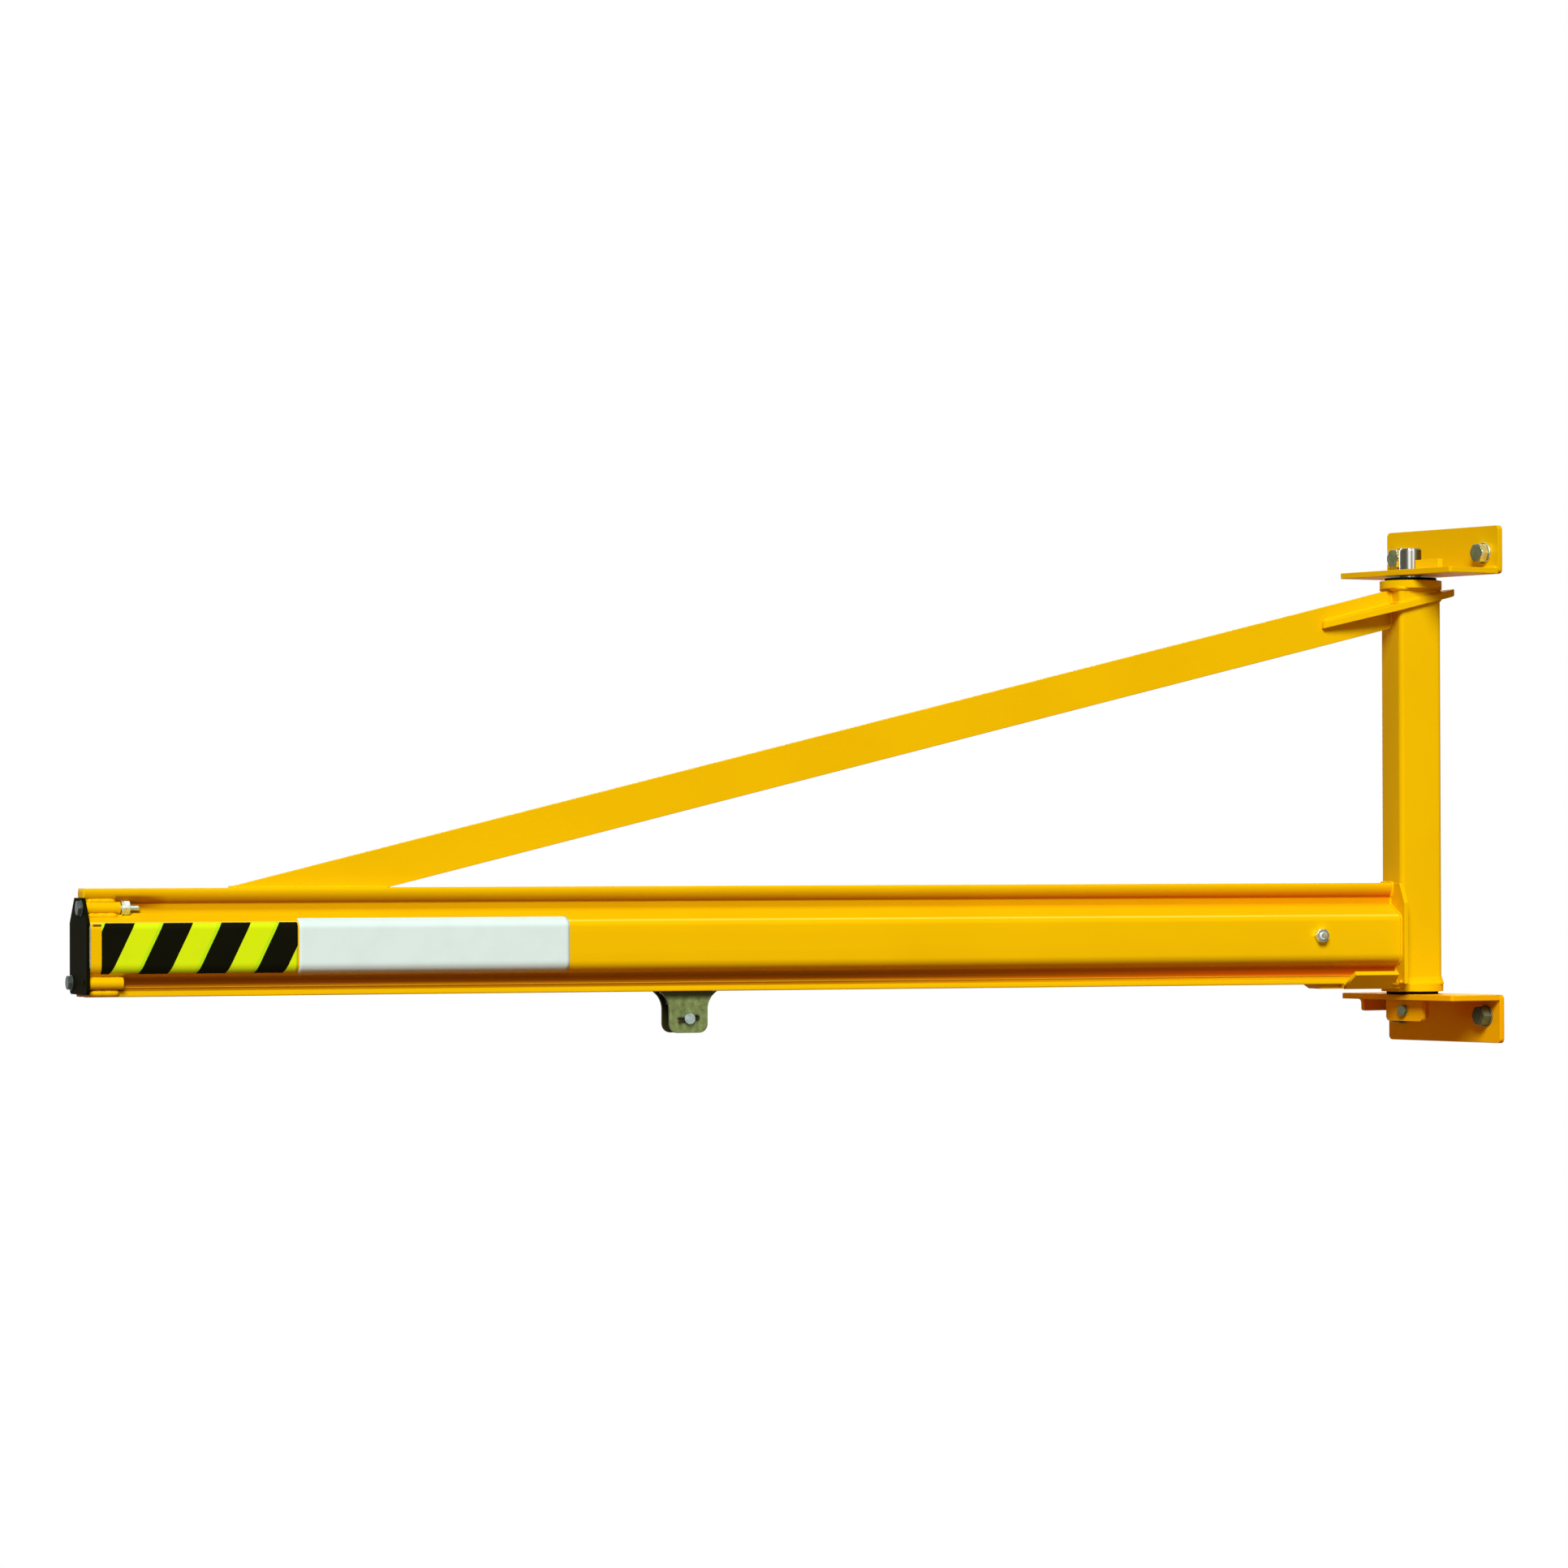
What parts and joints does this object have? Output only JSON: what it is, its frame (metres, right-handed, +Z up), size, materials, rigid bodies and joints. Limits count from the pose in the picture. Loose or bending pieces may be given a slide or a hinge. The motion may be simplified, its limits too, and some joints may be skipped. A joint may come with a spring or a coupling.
{
  "type": "wall-mounted jib crane",
  "caption": "Over-braced jib crane with a hollow track arm, a flat tie bar, a post slewing between wall brackets and a trolley with a load clevis in the track.",
  "frame": {"origin": "centre of the lower wall plate's back face, which lies on the wall", "axes": "+Y into the wall, -Y into the room, +X along the wall to the right seen from the room, +Z up"},
  "size_m": [0.7633, 2.4257, 0.898],
  "materials": {
    "yellow_paint": "glossy powder coat",
    "zinc_plate": "zinc plated, slightly olive",
    "bright_steel": "turned steel",
    "black_plastic": "moulded, satin",
    "black_rubber": "matt"
  },
  "bodies": {
    "wall_brackets": {"lower_wall_plate": "yellow_paint", "lower_bearing_plate": "yellow_paint", "lower_rib": "yellow_paint", "lower_front_lug": "yellow_paint", "lower_rear_lug": "yellow_paint", "lower_pivot_pin": "bright_steel", "lug_bolt": "zinc_plate", "lower_wall_bolt_left": "zinc_plate", "lower_wall_bolt_right": "zinc_plate", "upper_wall_plate": "yellow_paint", "upper_bearing_plate": "yellow_paint", "upper_keeper_tab": "yellow_paint", "upper_pivot_pin": "bright_steel", "upper_wall_bolt_left": "zinc_plate", "upper_wall_bolt_right": "zinc_plate", "lower_thrust_washer": "black_plastic"},
    "arm": {"post": "yellow_paint", "lower_disc": "yellow_paint", "upper_disc": "yellow_paint", "upper_thrust_washer": "black_plastic", "tie_bar": "yellow_paint", "collar_plate": "yellow_paint", "track_beam": "yellow_paint", "root_end_plate": "yellow_paint", "root_saddle": "yellow_paint", "root_stop_bolt": "zinc_plate", "root_buffer": "black_rubber", "tip_buffer": "black_rubber", "end_cap": "black_plastic", "upper_sleeve_near": "yellow_paint", "upper_sleeve_far": "yellow_paint", "lower_sleeve_near": "yellow_paint", "lower_sleeve_far": "yellow_paint", "upper_cap_bolt": "zinc_plate", "lower_cap_bolt": "zinc_plate"},
    "trolley": {"trolley_carriage": "zinc_plate", "front_axle": "bright_steel", "rear_axle": "bright_steel", "front_wheel_near": "bright_steel", "front_wheel_far": "bright_steel", "rear_wheel_near": "bright_steel", "rear_wheel_far": "bright_steel", "clevis_plate_near": "zinc_plate", "clevis_plate_far": "zinc_plate", "load_pin": "zinc_plate"}
  },
  "joints": [
    {"name": "arm_swing", "type": "hinge", "parent": "wall_brackets", "child": "arm", "pos_m": [0, -0.081, 0.4], "axis": [0, 0, 1], "range_deg": [-76, 103]},
    {"name": "trolley_travel", "type": "slide", "parent": "arm", "child": "trolley", "axis": [-0.2334, -0.9724, 0], "range_m": [-1.05, 0.92]}
  ]
}
